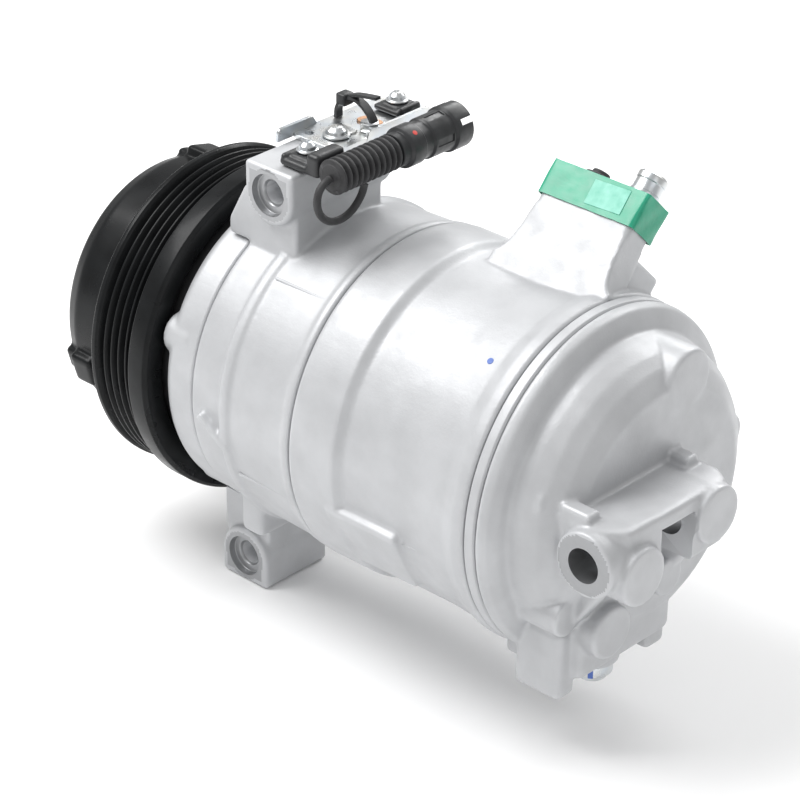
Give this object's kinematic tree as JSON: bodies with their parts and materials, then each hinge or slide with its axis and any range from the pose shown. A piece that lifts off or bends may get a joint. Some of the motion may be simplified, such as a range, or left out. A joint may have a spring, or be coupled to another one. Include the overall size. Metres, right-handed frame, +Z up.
{
  "type": "automotive air-conditioning compressor",
  "caption": "Swash-plate refrigerant compressor with a grooved belt pulley, magnetic clutch, bolted aluminium castings, mounting lugs, sealed ports and a clutch lead with its connector.",
  "frame": {"origin": "centre of the footprint of the box round everything but the hanging lead, at the height of its lowest point", "axes": "+X from the pulley to the rear head along the shaft, +Z up through the upper mounting lug, -Y toward the mounting bolts' near faces"},
  "size_m": [0.2594, 0.1246, 0.1839],
  "materials": {
    "cast_aluminium": "satin as-cast die-cast aluminium with machined faces",
    "black_paint": "gloss black electro-coat",
    "coil_black": "satin black potted coil",
    "steel": "turned and ground steel",
    "zinc": "bright zinc plate",
    "bronze": "sintered bearing bronze",
    "black_plastic": "moulded satin black plastic",
    "rubber": "matte black rubber",
    "green_tape": "glossy green sealing tape"
  },
  "bodies": {
    "root": {"bracket_screw": "zinc", "cable_tie": "black_plastic", "connector_body": "black_plastic", "corrugated_boot": "rubber", "field_coil": "coil_black", "front_body": "cast_aluminium", "front_cylinder_block": "cast_aluminium", "front_head": "cast_aluminium", "front_shaft_bearing": "steel", "front_thrust_bearing": "steel", "front_valve_plate": "steel", "lead_loop": "rubber", "left_clip": "black_plastic", "left_clip_screw": "zinc", "port_cap": "rubber", "port_stud": "zinc", "port_tape": "green_tape", "pulley_bearing_inner_race": "steel", "pulley_snap_ring": "steel", "rear_body": "cast_aluminium", "rear_cylinder_block": "cast_aluminium", "rear_head": "cast_aluminium", "rear_shaft_bearing": "steel", "rear_thrust_bearing": "steel", "rear_valve_plate": "steel", "relief_valve": "zinc", "right_clip": "black_plastic", "right_clip_screw": "zinc", "sensor_bracket": "zinc", "shaft_seal": "rubber", "through_bolt_1": "steel", "through_bolt_2": "steel", "through_bolt_3": "steel", "through_bolt_4": "steel", "through_bolt_5": "steel"},
    "pulley": {"pulley": "black_paint", "pulley_bearing_outer_race": "steel"},
    "shaft": {"shaft": "steel", "swash_hub": "steel", "clutch_hub": "black_paint", "drum_cover": "black_paint", "damper_ring": "rubber", "hub_nut": "zinc"},
    "armature": {"armature_plate": "black_paint"},
    "swash_ring": {"swash_ring": "bronze"},
    "front_shoe_1": {"front_shoe_1": "bronze"},
    "rear_shoe_1": {"rear_shoe_1": "bronze"},
    "piston_1": {"piston_1": "cast_aluminium"},
    "front_shoe_2": {"front_shoe_2": "bronze"},
    "rear_shoe_2": {"rear_shoe_2": "bronze"},
    "piston_2": {"piston_2": "cast_aluminium"},
    "front_shoe_3": {"front_shoe_3": "bronze"},
    "rear_shoe_3": {"rear_shoe_3": "bronze"},
    "piston_3": {"piston_3": "cast_aluminium"},
    "front_shoe_4": {"front_shoe_4": "bronze"},
    "rear_shoe_4": {"rear_shoe_4": "bronze"},
    "piston_4": {"piston_4": "cast_aluminium"},
    "front_shoe_5": {"front_shoe_5": "bronze"},
    "rear_shoe_5": {"rear_shoe_5": "bronze"},
    "piston_5": {"piston_5": "cast_aluminium"}
  },
  "joints": [
    {"name": "pulley_spin", "type": "hinge", "parent": "root", "child": "pulley", "pos_m": [-0.0874, 0.00026, 0.084], "axis": [1, 0, 0], "continuous": true},
    {"name": "shaft_spin", "type": "hinge", "parent": "root", "child": "shaft", "pos_m": [-0.0724, 0.00026, 0.084], "axis": [1, 0, 0], "continuous": true},
    {"name": "armature_slide", "type": "slide", "parent": "shaft", "child": "armature", "axis": [1, 0, 0], "range_m": [0, 0.0005], "stiffness_N_per_m": 4000},
    {"name": "swash_wobble", "type": "hinge", "parent": "shaft", "child": "swash_ring", "pos_m": [0.01325, 0.00026, 0.084], "axis": [0.9744, -0.225, 0], "continuous": true},
    {"name": "front_shoe_1_turn", "type": "hinge", "parent": "swash_ring", "child": "front_shoe_1", "pos_m": [0.0183, 0.02214, 0.11274], "axis": [0.9744, -0.225, 0], "continuous": true},
    {"name": "rear_shoe_1_turn", "type": "hinge", "parent": "front_shoe_1", "child": "rear_shoe_1", "pos_m": [0.01837, 0.02242, 0.11237], "axis": [0.9744, -0.225, 0], "continuous": true},
    {"name": "piston_1_stroke", "type": "hinge", "parent": "rear_shoe_1", "child": "piston_1", "pos_m": [0.01837, 0.02242, 0.11237], "axis": [1, 0, 0], "continuous": true},
    {"name": "front_shoe_2_turn", "type": "hinge", "parent": "swash_ring", "child": "front_shoe_2", "pos_m": [0.00866, -0.01962, 0.11424], "axis": [0.9744, -0.225, 0], "continuous": true},
    {"name": "rear_shoe_2_turn", "type": "hinge", "parent": "front_shoe_2", "child": "rear_shoe_2", "pos_m": [0.0086, -0.01987, 0.11385], "axis": [0.9744, -0.225, 0], "continuous": true},
    {"name": "piston_2_stroke", "type": "hinge", "parent": "rear_shoe_2", "child": "piston_2", "pos_m": [0.0086, -0.01987, 0.11385], "axis": [1, 0, 0], "continuous": true},
    {"name": "front_shoe_3_turn", "type": "hinge", "parent": "swash_ring", "child": "front_shoe_3", "pos_m": [0.00536, -0.0339, 0.07395], "axis": [0.9744, -0.225, 0], "continuous": true},
    {"name": "rear_shoe_3_turn", "type": "hinge", "parent": "front_shoe_3", "child": "rear_shoe_3", "pos_m": [0.00526, -0.03435, 0.07408], "axis": [0.9744, -0.225, 0], "continuous": true},
    {"name": "piston_3_stroke", "type": "hinge", "parent": "rear_shoe_3", "child": "piston_3", "pos_m": [0.00526, -0.03435, 0.07408], "axis": [1, 0, 0], "continuous": true},
    {"name": "front_shoe_4_turn", "type": "hinge", "parent": "swash_ring", "child": "front_shoe_4", "pos_m": [0.01296, -0.00098, 0.04755], "axis": [0.9744, -0.225, 0], "continuous": true},
    {"name": "rear_shoe_4_turn", "type": "hinge", "parent": "front_shoe_4", "child": "rear_shoe_4", "pos_m": [0.01296, -0.001, 0.04802], "axis": [0.9744, -0.225, 0], "continuous": true},
    {"name": "piston_4_stroke", "type": "hinge", "parent": "rear_shoe_4", "child": "piston_4", "pos_m": [0.01296, -0.001, 0.04802], "axis": [1, 0, 0], "continuous": true},
    {"name": "front_shoe_5_turn", "type": "hinge", "parent": "swash_ring", "child": "front_shoe_5", "pos_m": [0.02096, 0.03365, 0.07153], "axis": [0.9744, -0.225, 0], "continuous": true},
    {"name": "rear_shoe_5_turn", "type": "hinge", "parent": "front_shoe_5", "child": "rear_shoe_5", "pos_m": [0.02106, 0.03409, 0.07169], "axis": [0.9744, -0.225, 0], "continuous": true},
    {"name": "piston_5_stroke", "type": "hinge", "parent": "rear_shoe_5", "child": "piston_5", "pos_m": [0.02106, 0.03409, 0.07169], "axis": [1, 0, 0], "continuous": true}
  ],
  "couplings": [
    {"joint": "swash_wobble", "follows": "shaft_spin", "ratio": -1},
    {"joint": "front_shoe_1_turn", "follows": "shaft_spin", "ratio": 2},
    {"joint": "rear_shoe_1_turn", "follows": "shaft_spin", "ratio": -1},
    {"joint": "piston_1_stroke", "follows": "shaft_spin", "ratio": -1},
    {"joint": "front_shoe_2_turn", "follows": "shaft_spin", "ratio": 2},
    {"joint": "rear_shoe_2_turn", "follows": "shaft_spin", "ratio": -1},
    {"joint": "piston_2_stroke", "follows": "shaft_spin", "ratio": -1},
    {"joint": "front_shoe_3_turn", "follows": "shaft_spin", "ratio": 2},
    {"joint": "rear_shoe_3_turn", "follows": "shaft_spin", "ratio": -1},
    {"joint": "piston_3_stroke", "follows": "shaft_spin", "ratio": -1},
    {"joint": "front_shoe_4_turn", "follows": "shaft_spin", "ratio": 2},
    {"joint": "rear_shoe_4_turn", "follows": "shaft_spin", "ratio": -1},
    {"joint": "piston_4_stroke", "follows": "shaft_spin", "ratio": -1},
    {"joint": "front_shoe_5_turn", "follows": "shaft_spin", "ratio": 2},
    {"joint": "rear_shoe_5_turn", "follows": "shaft_spin", "ratio": -1},
    {"joint": "piston_5_stroke", "follows": "shaft_spin", "ratio": -1}
  ]
}
